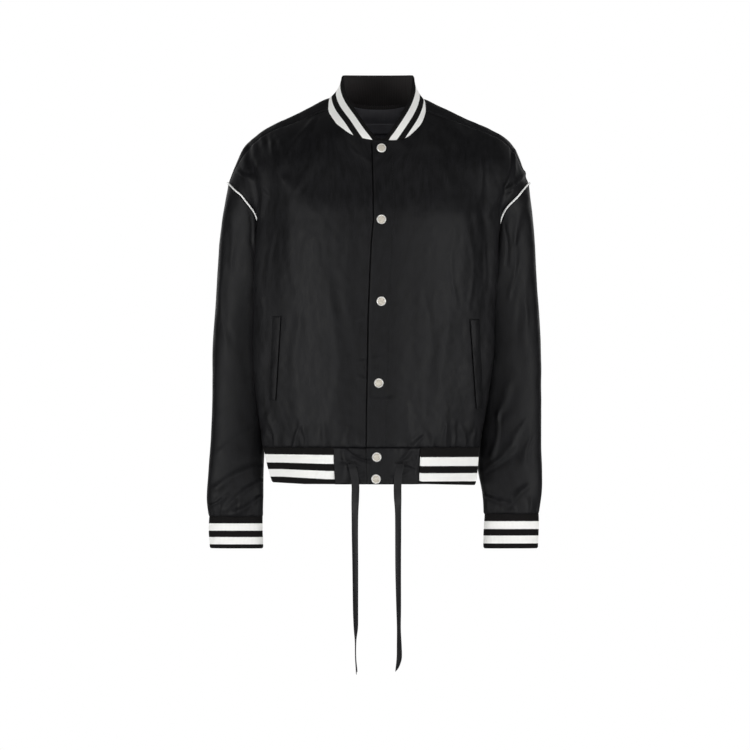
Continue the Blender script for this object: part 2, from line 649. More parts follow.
def panel_cloth(name, points, normals):
    """A body panel with its creases."""
    across = grid_lengths(points)[0]
    near = np.minimum(across, across[:, -1:] - across)
    height = drape(points, normals) * np.clip(near / 16, 0.15, 1) + seam_roll(points)
    height += chest_ridge(points[..., 0], points[..., 2]) * (normals[..., 1] < 0)
    outer = points + normals * height[..., None]
    return fine_cloth(name, trimmed(outer), setting("jacket_satin", "wall"), "shell_satin"), outer


def make_fronts():
    made = []
    for name, side in SIDES.items():
        edge = PLACKET_EDGES[name]
        pressed = np.sort(np.append(NECK_U, UNDER_EDGE_U + np.linspace(-0.03, 0.06, 8)))
        hidden = pressed if name == "right" else NECK_U[NECK_U > edge + 0.02]
        overlap = np.linspace(edge, 0, 12)[:-1]
        u = np.concatenate([overlap, hidden, OUT_U]) if name == "right" else np.concatenate(
            [np.linspace(edge, NECK_U[1], 8)[:-1], NECK_U[1:], OUT_U])
        points, normals = panel("front", side, u)
        points += normals * placket_rise(name, u)[..., None]
        if name == "right":
            pressed_in = np.clip((-68 - points[..., 2]) / 8, 0, 1) * placket_gap(u)
            points -= normals * pressed_in[..., None]
            points[:, u < 0] -= normals[:, u < 0] * 0.4
            points[0, u < 0] -= (0, 0, UNDER_FRONT_DROP)
        piece, outer = panel_cloth("front_shell_" + name, points[:, ::side], normals[:, ::side])
        hang(piece, "front_" + name, outer)
        made.append(piece)
    return made


def make_back():
    halves = [panel("back", side, np.concatenate([NECK_U, OUT_U])) for side in SIDES.values()]
    points, normals = (np.concatenate([left[:, ::-1], right[:, 1:]], axis=1) for left, right in zip(*halves))
    piece, outer = panel_cloth("back_shell", points, normals)
    hang(piece, "back", outer)
    make_neck_trim(points, normals)
    return piece


def make_neck_trim(points, normals):
    """A satin facing inside the back neck, and the bare woven label that is sewn on it."""
    middle = points.shape[1] // 2
    reach = NECK_STEPS - NECK_STEPS // 4
    columns = slice(middle - reach, middle + reach + 1)
    rows = 24
    inside = points - normals * (SATIN_WALL + SEAM_GAP)
    top, bottom = inside[0, columns], inside[3 * ARMHOLE_STEPS // 8, columns]
    part = np.linspace(0.02, 1, rows)[:, None, None]
    facing = top + part * (bottom - top)
    hang_down = part * (bottom - top)
    facing[..., 1] = top[..., 1] + 0.3 * hang_down[..., 1] - 3.4
    over_seam = np.clip(1 - np.arange(rows) / 12, 0, 1)[:, None]
    sideways = np.abs(np.linspace(-1, 1, 2 * reach + 1))
    facing[..., 2] += 17 * over_seam * (1 - sideways ** 4)
    facing[..., 1] += 0.5 * value_noise(facing, 22, 41)
    flipped = facing[:, ::-1]
    piece = fine_cloth("neck_facing", flipped + np.array((0, -TRIM_WALL, 0)), 0.8, "facing_satin")
    piece.data.materials.append(bpy.data.materials["inner_knit"])
    bound = np.zeros(len(piece.data.polygons), int)
    bound[:flipped.shape[1] - 1] = 1
    piece.data.polygons.foreach_set("material_index", bound)
    hang(piece, "back_neck_facing", flipped)
    inner = surface_of(piece)
    across = np.linspace(-LABEL_HALF, LABEL_HALF, 60)
    down = np.linspace(LABEL_TOP, LABEL_BOTTOM, 22)
    grid = np.array([[inner(LABEL_X + x, z, from_y=0.0)[0] for x in across] for z in down])
    edge = np.minimum(across + LABEL_HALF, LABEL_HALF - across)[None, :]
    rim = np.minimum(down[0] - down, down - down[-1])[:, None]
    grid[..., 1] -= 1.1 + 0.25 * (edge < 5) - 0.2 * (np.minimum(edge, rim) < 0.8)
    label = fine_cloth("label_tape", grid, 0.5, "label_weave")
    hang(label, "neck_label", grid)
    spots = []
    for end in (-1, 1):
        for z in np.linspace(LABEL_TOP - 1.5, LABEL_BOTTOM + 1.5, 7):
            x = LABEL_X + end * (LABEL_HALF - 1.6)
            spots.append((inner(x, z, from_y=0.0)[0] - (0, 1.7, 0), (0, 0, 1), (0, -1, 0)))
    thread = stitches("label_stitches", spots, 1.7, "thread")
    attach(thread, "root")


def armhole(name):
    """Points and normals round the armhole seam, from the shoulder down the front and up the back."""
    side = SIDES[name]
    down = np.linspace(0, FRONT_UNDERARM, ARMHOLE_STEPS + 1)
    up = np.linspace(BACK_UNDERARM, 0, ARMHOLE_STEPS + 1)[1:-1]
    loop = [(find("front", side, SEAM_COLUMN, down), find("back", side, SEAM_COLUMN, up))
            for find in (body_point, body_normal)]
    return [np.concatenate(parts) for parts in loop]


def sleeve_rings(name, loop, normals):
    """Rings from the armhole seam down to the cuff seam."""
    side, count = SIDES[name], len(loop)
    angle = np.linspace(0, 2 * math.pi, count, endpoint=False)
    inside = (1 - np.cos(angle)) / 2
    rings = []
    for z_out, z_in, x_out, x_in, middle_y, half_depth in SLEEVE_RINGS[name]:
        x = side * ((x_out + x_in) / 2 + (x_out - x_in) / 2 * np.cos(angle))
        y = middle_y - half_depth * np.sign(np.sin(angle)) * np.abs(np.sin(angle)) ** 0.48
        y -= 10 * inside * np.clip(np.sin(angle), 0, 1) ** 0.3
        rings.append(np.stack([x, y, z_out + (z_in - z_out) * inside], axis=-1))
    away = rings[0] - loop
    start = loop + 1.5 * SEAM_GAP * away / np.linalg.norm(away, axis=-1, keepdims=True)
    under_arm = np.clip(1.8 * inside - 0.7, 0, 1)[:, None]
    start += normals * (SEAM_GAP / 2 + PIPING_ROOM * under_arm)
    start[:, 1] += SLEEVE_TUCK * (start[:, 1].mean() - start[:, 1])
    rings = np.stack([start, *rings])
    at = np.linspace(0, len(rings) - 1, SLEEVE_STEPS + 1)
    return np.stack([curve(rings[:, k], at) for k in range(count)], axis=1)


def make_sleeves():
    ends = {}
    for name, side in SIDES.items():
        loop, normals = armhole(name)
        rings = sleeve_rings(name, loop, normals)[:, ::-side]
        outward = grid_normals(rings, ring=True)
        height = sleeve_drape(rings, outward, side)
        depth = np.minimum(grid_lengths(rings)[1] / 14, 1)
        height = height * depth + seam_roll(rings, ring=True)
        outer = rings + outward * height[..., None]
        piece = fine_cloth("sleeve_shell_" + name, outer, setting("jacket_satin", "wall"), "shell_satin", ring=True)
        hang(piece, "sleeve_" + name, outer, ring=True)
        ends[name] = rings[-1], loop, normals, outward[0][::-side]
        make_piping(name, *ends[name][1:])
    return ends


def make_piping(name, loop, body_normals, sleeve_normals):
    """White satin-covered cord along the armhole seam, with the flat lip by which it is sewn in."""
    angle = np.linspace(0, 2 * math.pi, len(loop), endpoint=False)[:, None]
    outside = body_normals + sleeve_normals * np.clip(1.18 + np.cos(angle), 0, 1)
    outside /= np.linalg.norm(outside, axis=-1, keepdims=True)
    lift = PIPING_RADIUS - 0.1 + 2.1 * np.sin(angle) ** 2
    centres = loop + outside * lift
    if name == "right":
        at_front = np.exp(-((centres[:, 0] + 245) / 9) ** 2) * (np.sin(angle[:, 0]) > 0)
        centres[:, 2] += 4.5 * at_front
    around = np.linspace(0, 2 * math.pi, 10, endpoint=False)
    along = np.roll(centres, -1, axis=0) - np.roll(centres, 1, axis=0)
    along /= np.linalg.norm(along, axis=-1, keepdims=True)
    sideways = np.cross(along, outside)
    twill = 1 + 0.03 * np.sin(np.arange(len(loop)) * 1.9)[:, None]
    rings = [centres + PIPING_RADIUS * twill * (math.cos(a) * outside * 1.1 + math.sin(a) * sideways * 0.95)
             for a in around]
    points = np.stack(rings, axis=1)
    count, sides = points.shape[:2]
    row, column = np.meshgrid(np.arange(count), np.arange(sides), indexing="ij")
    index = (row * sides + column).ravel()
    right = (row * sides + (column + 1) % sides).ravel()
    below = ((row + 1) % count * sides + column).ravel()
    corner = ((row + 1) % count * sides + (column + 1) % sides).ravel()
    piece = add_mesh("piping_cord_" + name, points.reshape(-1, 3), np.stack([index, right, corner, below], 1))
    piece.data.materials.append(bpy.data.materials["piping_satin"])
    hang(piece, "piping_" + name)


# Ribs

def ribbed(outline, side_normals, wall, pitch, name, finish, ring, stripe_rows):
    """A knitted band from an outline of rows of points, with real wales and a soft folded edge.

    stripe_rows gives each point's distance down the stripes, in millimetres, as its cloth coordinate.
    """
    across = grid_lengths(outline)[0]
    total = across[:, -1:]
    count = max(int(np.median(total) / pitch), 1)
    phase = across / np.maximum(total, 1e-6) * count
    wale = np.abs(np.sin(math.pi * phase)) ** 0.8 - 0.55
    down = grid_lengths(outline)[1]
    edge = np.minimum(down, down[-1] - down)
    settle = np.clip(edge / 2.5, 0.25, 1)
    height = setting("jacket_rib", "relief") * wale * settle
    height += 0.5 * value_noise(outline * (1, 1, 0.6), 22, 51)
    rounding = np.clip((down[-1] - down) / 1.6, 0, 1)
    height -= wall * 0.45 * (1 - np.sqrt(1 - (1 - rounding) ** 2))
    outer = outline + side_normals * height[..., None]
    uv = np.stack([np.broadcast_to(phase * pitch, stripe_rows.shape), stripe_rows], axis=-1)
    return fine_cloth(name, outer, wall, finish, ring=ring, uv=uv, normals=side_normals), outer


def spread(points, count, ring=False):
    """Points evenly spaced along a line."""
    closed = np.concatenate([points, points[:1]]) if ring else points
    length = np.concatenate([[0], np.cumsum(np.linalg.norm(np.diff(closed, axis=0), axis=1))])
    at = np.linspace(0, length[-1], count, endpoint=not ring)
    return np.stack([np.interp(at, length, closed[:, k]) for k in range(3)], axis=-1)


CUFF_DEPTH = {"left": 62.6, "right": 57.6}      # along the cloth, from the seam to the folded edge


def make_cuffs(ends):
    for name, side in SIDES.items():
        top = spread(ends[name][0], CUFF_COLUMNS, ring=True) + (0, 0, -SEAM_GAP / 2)
        part = np.linspace(0, 1, 26)[:, None, None]
        fold_in = np.clip((part - 0.93) / 0.07, 0, 1) ** 2
        middle = top.mean(axis=0)
        points = top[None] + part * np.array((0, 0, 1)) * (CUFF_END_Z - top[None, :, 2:])
        swell = 0.012 * np.sin(math.pi * np.clip(part, 0, 1)) - 0.015 * fold_in
        points[..., :2] += (points[..., :2] - middle[:2]) * swell
        points[..., 0] += 0.8 * np.sin(points[..., 2] / 17 + side)
        stripes = np.broadcast_to(part[..., 0] * CUFF_DEPTH[name], points.shape[:2])
        stripes = np.concatenate([stripes[:1] - 3, stripes[:1] - 1.2, stripes])
        points = tucked(points, inward=1.8, ring=True)
        normals = grid_normals(points, ring=True)
        piece, outer = ribbed(points, normals, RIB_THICK, 2.4, "cuff_rib_" + name, "cuff_knit_" + name, True, stripes)
        hang(piece, "cuff_" + name, outer[:, ::6], ring=True)


# Top edge of the collar. Columns: part of the seam's length from the front, half width, shift, y, z.
COLLAR_EDGE = (
    (0, 0, 7, -93, -66), (0.05, 6, 6.6, -91, -62.5), (0.11, 12, 6, -87.5, -54), (0.175, 20, 5.7, -82, -43.5),
    (0.24, 28, 5.5, -74, -32), (0.3, 36, 5.3, -62, -20), (0.37, 44.5, 4.6, -47, -7), (0.45, 53.5, 3.4, -27, 9),
    (0.53, 60.5, 2.5, -6, 26), (0.61, 64.3, 2.1, 12, 42), (0.68, 65.2, 1.9, 27, 52.3), (0.74, 61.5, 1.8, 42, 54.3),
    (0.81, 50, 1.8, 56, 54.6), (0.9, 27, 1.8, 68, 54.8), (1, 0, 1.8, 71, 54.8),
)


def collar_lines():
    """The collar's seam on the neckline and its top edge, from the wearer's left front round to the right."""
    start_u = PLACKET_X / COLUMN_WIDTH
    table = np.array(COLLAR_EDGE)
    half = {}
    for name, side in SIDES.items():
        front_u = np.concatenate([[start_u], NECK_U[NECK_U > start_u]]) if side > 0 else np.concatenate(
            [[-start_u], NECK_U])
        parts = []
        for face, u in (("front", front_u), ("back", NECK_U[::-1][1:])):
            parts.append(body_point(face, side, u, neckline_row(face, u)))
        seam = np.concatenate(parts)
        length = np.concatenate([[0], np.cumsum(np.linalg.norm(np.diff(seam, axis=0), axis=1))])
        at = np.interp(length / length[-1], table[:, 0], np.arange(len(table)))
        half_width, shift, y, z = curve(table[:, 1:], at).T
        half[name] = seam, np.stack([side * half_width + shift, y, z], axis=-1)
    seam = np.concatenate([half["left"][0], half["right"][0][-2::-1]])
    top = np.concatenate([half["left"][1], half["right"][1][-2::-1]])
    return seam, top


def make_collar():
    seam, top = collar_lines()
    length = np.concatenate([[0], np.cumsum(np.linalg.norm(np.diff(seam, axis=0), axis=1))])
    at = np.linspace(0, length[-1], COLLAR_COLUMNS)
    seam, top = (np.stack([np.interp(at, length, line[:, k]) for k in range(3)], axis=-1) for line in (seam, top))
    rise = (top - seam) / np.linalg.norm(top - seam, axis=-1, keepdims=True)
    seam = seam + rise * SEAM_GAP * 2
    height = np.linspace(0, 1, 22)[::-1, None, None]
    points = seam + (top - seam) * height
    outward = grid_normals(points)
    beside = 1 - 1.9 * np.exp(-((np.minimum(at, at[-1] - at) / at[-1] - 0.34) / 0.1) ** 2)
    points = points + outward * COLLAR_BULGE * beside[:, None] * 4 * height * (1 - height)
    points[:, 0] += (0.35, 0, 0)
    points[:, -1] -= (0.35, 0, 0)
    points = tucked(points[::-1], inward=-1.4)[::-1]
    outward = grid_normals(points)
    edge_points = top[::4]
    flatten = np.clip((np.abs(points[0, :, 0] - PLACKET_X + 3) - 12) / 30, 0.2, 1)
    flatten = np.where(points[0, :, 1] < -40, flatten, 1)[:, None, None] ** (0, 1, 0)
    stripes = np.array([np.linalg.norm((row[:, None] - edge_points) * flatten, axis=-1).min(axis=1)
                        for row in points])
    across = grid_lengths(points)[0]
    down = grid_lengths(points)[1]
    count_wales = int(across[:, -1].max() / COLLAR_WALE)
    phase = at / at[-1] * count_wales
    wale = np.abs(np.sin(math.pi * phase)) ** 0.8 - 0.55
    edge = np.clip(down / 1.8, 0, 1)
    relief = setting("jacket_rib", "relief") * wale[None] * np.clip(np.minimum(down, down[-1] - down) / 2.5, 0.2, 1)
    relief -= RIB_THICK * 0.45 * (1 - np.sqrt(1 - (1 - edge) ** 2))
    relief += 0.6 * value_noise(points, 26, 61)
    outer = points + outward * relief[..., None]
    uv = np.stack([np.broadcast_to(phase * COLLAR_WALE, stripes.shape), stripes], axis=-1)
    piece = fine_cloth("collar_rib", outer, RIB_THICK, "collar_knit", uv=uv, normals=outward)
    inner_faces = np.zeros(len(piece.data.polygons), int)
    outside = (outer.shape[0] - 1) * (outer.shape[1] - 1)
    inner_faces[outside:2 * outside] = 1
    piece.data.materials.append(bpy.data.materials["inner_knit"])
    piece.data.polygons.foreach_set("material_index", inner_faces)
    hang(piece, "collar", outer[:, ::6])


def band_part(face, side, u, rows):
    """Rows of the hem band below one face of the body."""
    hem = FORMS[face].shape[0] - 3
    top = body_point(face, side, u, np.full_like(u, hem))
    top[:, 2] -= SEAM_GAP
    bottom = top * (0.955, 0.95, 1) + (0.4, 0, 0)
    bottom[:, 2] = HEM_BAND_BOTTOM
    at_right = np.clip((-bottom[:, 0] - 130) / 70, 0, 1)
    bottom += at_right[:, None] * (7, 0, 3)
    bottom[:, 2] -= 2 * np.clip((bottom[:, 0] - 90) / 80, 0, 1)
    part = np.linspace(0, 1, rows)[:, None, None]
    return top + part * (bottom - top)


def make_hem():
    strips, tabs = [], []
    for name, side in SIDES.items():
        centre = PLACKET_X if side > 0 else -PLACKET_X
        end = (centre + TAB_HALF) / COLUMN_WIDTH
        fine_u = np.linspace(end + SEAM_GAP / COLUMN_WIDTH, SEAM_COLUMN, 90)
        back_u = np.linspace(SEAM_COLUMN, 0, 90)[1:]
        strips.append(np.concatenate([band_part("front", side, fine_u, 20), band_part("back", side, back_u, 20)],
                                     axis=1))
        tabs.append(make_tab(name, side, end))
    band = np.concatenate([strips[0], strips[1][:, -2::-1]], axis=1)
    points = np.stack([spread(row, HEM_COLUMNS) for row in band])
    depth = points[0, 0, 2] - points[..., 2]
    near_front = np.clip((70 - points[..., 1]) / 80, 0, 1)
    depth *= 1 + 0.085 * np.clip((-points[..., 0] - 90) / 80, 0, 1) * near_front
    depth -= 4 * np.clip((points[..., 0] - 60) / 20, 0, 1) * near_front
    swell = np.sin(math.pi * np.clip(depth / depth.max(), 0, 1))
    points[..., :2] *= 1 + 0.006 * swell[..., None]
    depth = np.concatenate([depth[:1] - 3, depth[:1] - 1.2, depth])
    points = tucked(points, inward=2.2)
    normals = grid_normals(points)
    piece, outer = ribbed(points, normals, RIB_THICK, 2.5, "hem_band_rib", "hem_knit", False, depth)
    hang(piece, "hem_rib", outer[:, ::6])
    return tabs


TAB_LEAN = {"right": 3.5, "left": 1.5}            # how much further out the bottom stands than the top


def make_tab(name, side, end):
    """The satin end of the hem band, puckered where the tape leaves it."""
    u = np.linspace(PLACKET_EDGES[name], end, 60)
    points = band_part("front", side, u, 48)[:, ::side]
    normals = grid_normals(points)
    rise = placket_rise(name, u)[::side]
    x, z = points[..., 0], points[..., 2]
    height = crease_field(TAB_CREASES, points) + 0.7 * value_noise(points * (1, 1, 0.6), 12, 71)
    exit_x, exit_z = TAPES[name][0][:2]
    height -= 1.6 * np.exp(-((x - exit_x) ** 2 + (z - exit_z) ** 2) / 60)
    top = z.max() - z
    height += 1.0 * gathers(x, top, 81 + side, 11, 14)
    height = 1.1 * height + TAB_LEAN[name] * np.clip(top / 60, 0, 1)
    if name == "right":
        rise = rise - placket_gap(u)[::side]
    outer = points + normals * (rise[None, :] + height + seam_roll(points, depth=0.45))[..., None]
    piece = fine_cloth("tab_shell_" + name, outer, 1.6, "shell_satin")
    hang(piece, "hem_tab_" + name, outer)
    return piece


# Trims

def stitches(name, spots, length, finish, radius=0.28):
    """Small capsules of thread in one mesh. Each spot is a place, a direction and a normal."""
    around = np.linspace(0, 2 * math.pi, 6, endpoint=False)
    points, faces = [], []
    for place, along, normal in spots:
        place, along, normal = (np.asarray(value, float) for value in (place, along, normal))
        along = along / np.linalg.norm(along)
        sideways = np.cross(along, normal)
        base = len(points)
        for step, thick, sink in ((-0.5, 0.25, -0.3), (-0.3, 0.9, 0.05), (0.3, 0.9, 0.05), (0.5, 0.25, -0.3)):
            middle = place + along * step * length + normal * sink
            for angle in around:
                points.append(middle + radius * thick * (math.cos(angle) * sideways + math.sin(angle) * normal))
        for row in range(3):
            for k in range(6):
                a, b = base + row * 6 + k, base + row * 6 + (k + 1) % 6
                faces.append((a, b, b + 6, a + 6))
        for start in (base, base + 18):
            ring = list(range(start, start + 6))
            ring = ring[::-1] if start == base else ring
            faces += [(ring[0], ring[1], ring[2], ring[3]), (ring[0], ring[3], ring[4], ring[5])]
    made = add_mesh(name, points, faces)
    made.data.materials.append(bpy.data.materials[finish])
    return made


def stitch_row(surface, path, lift=0.15):
    """Spots for stitches along a path of (x, z) on a surface."""
    path = np.array([(x, 0, z) for x, z in path], float)
    total = np.linalg.norm(np.diff(path, axis=0), axis=1).sum()
    line = spread(path, max(int(total / setting("jacket_trim", "stitch")), 2))
    spots = []
    for first, second in zip(line[:-1], line[1:]):
        middle = (first + second) / 2
        place, normal = surface(middle[0], middle[2])
        along = second - first
        along = along - normal * (along @ normal)
        spots.append((place + normal * lift, along, normal))
    return spots


def make_welts(on_front):
    """Pocket welts: a folded satin strip that stands on the front, over the dark mouth of the pocket."""
    spots = []
    for name, (top, bottom) in WELTS.items():
        rows, columns = 90, 14
        part = np.linspace(0, 1, rows)
        first, second = (np.interp(part, (0, 1), (top[k], bottom[k])) for k in (0, 1))
        z = np.interp(part, (0, 1), (top[2], bottom[2]))
        left_edge, right_edge = np.minimum(first, second), np.maximum(first, second)
        across = np.linspace(0, 1, columns)
        found = [[on_front(a + (b - a) * c, height) for c in across]
                 for a, b, height in zip(left_edge, right_edge, z)]
        base = np.array([[point for point, _ in row] for row in found])
        normals = np.array([[normal for _, normal in row] for row in found])
        normals = normals.mean(axis=1, keepdims=True).repeat(columns, 1)
        opening = across if name == "right" else 1 - across
        crown = 1.9 + 0.9 * np.sin(math.pi * across) + 1.2 * opening
        height = crown[None] + 0.35 * value_noise(base * (1, 1, 0.5), 14, 91)
        grid = base + normals * height[..., None]
        piece = fine_cloth("welt_" + name, grid, 1.0, "shell_satin", normals=normals)
        hang(piece, "pocket_welt_" + name, grid)
        inset = 2.2
        for x_at in (0.14, 0.86):
            edge = left_edge + (right_edge - left_edge) * x_at
            spots += stitch_row(surface_of(piece), list(zip(edge[2:-2], z[2:-2])))
        for end, shift in ((0, -inset), (-1, inset)):
            spots += stitch_row(surface_of(piece), [(left_edge[end] + 1.5, z[end] + shift),
                                                    (right_edge[end] - 1.5, z[end] + shift)])
    thread = stitches("welt_stitches", spots, 2.5, "thread")
    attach(thread, "root")


def make_topstitching(fronts, tabs):
    """Lines of stitches down the placket and round the satin ends of the hem band."""
    top_front = surface_of(fronts[0])
    column = PLACKET_X + PLACKET_HALF - 2
    spots = stitch_row(top_front, [(column + sway(z), z) for z in range(-74, -612, -6)])
    for tab, side in zip(tabs, SIDES.values()):
        outer_end = PLACKET_X + side * (TAB_HALF - 3)
        find = surface_of(tab)
        spots += stitch_row(find, [(outer_end + sway(-620), -622), (outer_end * 0.96 + sway(-678), -677)])
        near = (PLACKET_X - PLACKET_HALF + 4) if side > 0 else PLACKET_X - PLACKET_HALF - 6
        spots += stitch_row(find, [(outer_end * 0.96 + sway(-678), -677), (near + sway(-678), -677)])
    thread = stitches("topstitches", spots, 2.5, "thread")
    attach(thread, "root")


def lathe(name, profile, steps=48):
    """A turned shape with +Z as its axis. The profile starts and ends on the axis."""
    points = [(0, 0, profile[0][1])]
    angle = np.linspace(0, 2 * math.pi, steps, endpoint=False)
    for radius, height in profile[1:-1]:
        points += [(radius * math.cos(a), radius * math.sin(a), height) for a in angle]
    points.append((0, 0, profile[-1][1]))
    quads, rings = [], len(profile) - 2
    for ring in range(rings - 1):
        for k in range(steps):
            a, b = 1 + ring * steps + k, 1 + ring * steps + (k + 1) % steps
            quads.append((a, a + steps, b + steps, b))
    mesh = bpy.data.meshes.new(name)
    ends = [(0, 1 + k, 1 + (k + 1) % steps) for k in range(steps)]
    start = 1 + (rings - 1) * steps
    ends += [(len(points) - 1, start + (k + 1) % steps, start + k) for k in range(steps)]
    mesh.from_pydata([tuple(np.array(point) * MM) for point in points], [], quads + ends)
    mesh.shade_smooth()
    mesh.set_sharp_from_angle(angle=math.radians(40))
    made = bpy.data.objects.new(name, mesh)
    bpy.context.scene.collection.objects.link(made)
    return made


SNAP_SEAT = ((0, 0.9), (9.2, 0.9), (9.6, 0.6), (9.6, -0.4), (0, -0.4))
SNAP_RIM = ((0, 1.2), (6.3, 1.2), (6.5, 1.9), (6.9, 2.5), (7.5, 2.6), (8.1, 2.1), (8.5, 1.2), (8.5, 0.3), (8.2, 0),
            (0, 0))
SNAP_PEARL = ((0, 2.75), (1.6, 2.72), (3.2, 2.6), (4.6, 2.35), (5.8, 1.95), (6.35, 1.5), (6.35, 1.3), (0, 1.3))


def make_snaps(surface):
    """Snap caps: a turned metal rim with a pearl set in it."""
    for number, (x, z) in enumerate(SNAPS, start=1):
        reach = 8.5 * np.exp(1j * np.linspace(0, 2 * math.pi, 12, endpoint=False))
        around = [surface(x, z)] + [surface(x + step.real, z + step.imag) for step in reach]
        normal = np.mean([normal for _, normal in around], axis=0)
        normal /= np.linalg.norm(normal)
        lift = max((point - around[0][0]) @ normal for point, _ in around) - 0.3
        place = Vector((around[0][0] + normal * lift) * MM)
        turn = Vector(normal).to_track_quat("Z", "Y").to_matrix().to_4x4()
        turn.translation = place
        for part, profile, finish in (
                ("seat", SNAP_SEAT, "thread"), ("rim", SNAP_RIM, "snap_metal"), ("pearl", SNAP_PEARL, "snap_pearl")):
            piece = lathe(f"snap_{part}_{number}", profile)
            piece.data.transform(turn)
            piece.data.materials.append(bpy.data.materials[finish])
            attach(piece, "root")
            if part == "rim":
                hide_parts(f"snap_cap_{number}")


TAPE_SLANT = {"right": 5.0, "left": 12.0}       # how much shorter one edge is than the other, where it is cut off


def make_tapes(surface):
    """Flat satin drawstring tapes that hang from the tabs and turn about their own length."""
    for name, table in TAPES.items():
        rows = curve(table, np.linspace(0, len(table) - 1, 300))
        front = min(surface(x + edge, z)[0][1] for x, z, _ in table if z > HEM_BAND_BOTTOM
                    for edge in (-TAPE_WIDTH / 2, TAPE_WIDTH / 2))
        part = np.linspace(-1, 1, 15)
        grid, normals = [], []
        for x, z, turn in rows:
            angle = math.radians(turn)
            across = np.array((math.cos(angle), math.sin(angle), 0))
            facing = np.array((math.sin(angle), -math.cos(angle), 0))
            sag = 0.35 * math.sin(z / 23) + 0.9 * math.sin(z / 61 + x)
            tuck = 1.6 * math.exp(-((z - rows[0][1]) / 5) ** 2)
            centre = np.array((x, front - 1.2 + tuck, z))
            below_hem = 1 - math.exp(min(z - HEM_BAND_BOTTOM, 0) / 30)
            cup = (part ** 2 - 0.3) * (0.9 + 0.5 * math.sin(z / 35)) * below_hem
            grid.append(centre + part[:, None] * across * TAPE_WIDTH / 2 + facing * (cup[:, None] + sag * 0.3))
            normals.append(np.broadcast_to(facing, (15, 3)))
        grid, normals = np.array(grid), np.array(normals)
        cut = np.linspace(0, 1, 30)[:, None] ** 1.5 * (part[None] + 1) / 2
        grid[-30:, :, 2] += cut * TAPE_SLANT[name]
        path = [tuple(point) for point in grid[:, 7] * MM]
        thickness = setting("jacket_trim", "tape_thickness")
        piece = fine_cloth("tape_" + name, grid, thickness, "tape_satin", normals=normals)
        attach(piece, "root")
        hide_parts("drawstring_" + name)
        length = sum(math.dist(a, b) for a, b in zip(path, path[1:]))
        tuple(path[0])
        make_buttonhole(name, surface)


def make_buttonhole(name, surface):
    """The worked slot that the tape leaves the tab by."""
    x, z = TAPES[name][0][:2]
    spots = []
    for angle in np.linspace(0, 2 * math.pi, 34, endpoint=False):
        px, pz = x + 8.6 * math.cos(angle), z + 2.6 + 2.2 * math.sin(angle)
        place, normal = surface(px, pz)
        spots.append((place + normal * 0.2, (math.cos(angle), 0, math.sin(angle)), normal))
    thread = stitches("buttonhole_" + name, spots, 2.6, "thread", radius=0.4)
    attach(thread, "root")


# Finishes

def linear(colour):
    """An sRGB colour from 0 to 255 as the linear values that a shader takes."""
    part = [value / 255 for value in colour]
    return tuple(v / 12.92 if v <= 0.04045 else ((v + 0.055) / 1.055) ** 2.4 for v in part) + (1.0,)


def add_node(tree, kind, inputs=None, **settings):
    """A node with its settings and inputs. An input that is a socket is linked, and any other is a value."""
    node = tree.nodes.new(kind)
    for name, value in settings.items():
        setattr(node, name, value)
    for key, value in (inputs or {}).items():
        if isinstance(value, bpy.types.NodeSocket):
            tree.links.new(value, node.inputs[key])
        else:
            node.inputs[key].default_value = value
    return node


def maths(tree, operation, *values, clamp=False):
    node = add_node(tree, "ShaderNodeMath", dict(enumerate(values)), operation=operation, use_clamp=clamp)
    return node.outputs[0]


def new_group(name, inputs, outputs):
    """An empty node group. inputs and outputs hold (name, socket kind, default) for each socket."""
    tree = bpy.data.node_groups.new(name, "ShaderNodeTree")
    for side, sockets in (("INPUT", inputs), ("OUTPUT", outputs)):
        for label, kind, value in sockets:
            socket = tree.interface.new_socket(label, in_out=side, socket_type=kind)
            if value is not None:
                socket.default_value = value
    return tree, tree.nodes.new("NodeGroupInput"), tree.nodes.new("NodeGroupOutput")


def weave_group():
    """Fine floats of a satin weave with slubs: thicker yarns that run down the cloth."""
    tree, given, result = new_group("Satin weave", [
        ("Cloth", "NodeSocketVector", None), ("Yarns per mm", "NodeSocketFloat", 3.0),
        ("Slub", "NodeSocketFloat", 0.4)], [("Height", "NodeSocketFloat", None), ("Shade", "NodeSocketFloat", None)])
    split = add_node(tree, "ShaderNodeSeparateXYZ", {0: given.outputs["Cloth"]})
    turn = maths(tree, "MULTIPLY", split.outputs[0], maths(tree, "MULTIPLY", given.outputs["Yarns per mm"], 6.2832))
    drop = maths(tree, "MULTIPLY", split.outputs[1], 2.1)
    yarn = maths(tree, "SINE", maths(tree, "ADD", turn, drop))
    long_cloth = add_node(tree, "ShaderNodeCombineXYZ", {
        0: maths(tree, "MULTIPLY", split.outputs[0], 1.3), 1: maths(tree, "MULTIPLY", split.outputs[1], 0.03)})
    slub = add_node(tree, "ShaderNodeTexNoise", {"Vector": long_cloth.outputs[0], "Scale": 1.0, "Detail": 3.0})
    slubs = maths(tree, "MULTIPLY", maths(tree, "SUBTRACT", slub.outputs[0], 0.5), given.outputs["Slub"])
    height = maths(tree, "ADD", maths(tree, "MULTIPLY", yarn, 0.05), slubs)
    tree.links.new(height, result.inputs["Height"])
    mottle = add_node(tree, "ShaderNodeTexNoise", {
        "Vector": add_node(tree, "ShaderNodeCombineXYZ", {
            0: maths(tree, "MULTIPLY", split.outputs[0], 0.09), 1: maths(tree, "MULTIPLY", split.outputs[1], 0.035)
        }).outputs[0], "Scale": 1.0, "Detail": 5.0, "Roughness": 0.65})
    both = maths(tree, "ADD", slub.outputs[0], maths(tree, "SUBTRACT", mottle.outputs[0], 0.5))
    shade = maths(tree, "ADD", maths(tree, "MULTIPLY", maths(tree, "SUBTRACT", both, 0.5), 2.5), 0.5, clamp=True)
    tree.links.new(shade, result.inputs["Shade"])
    return tree


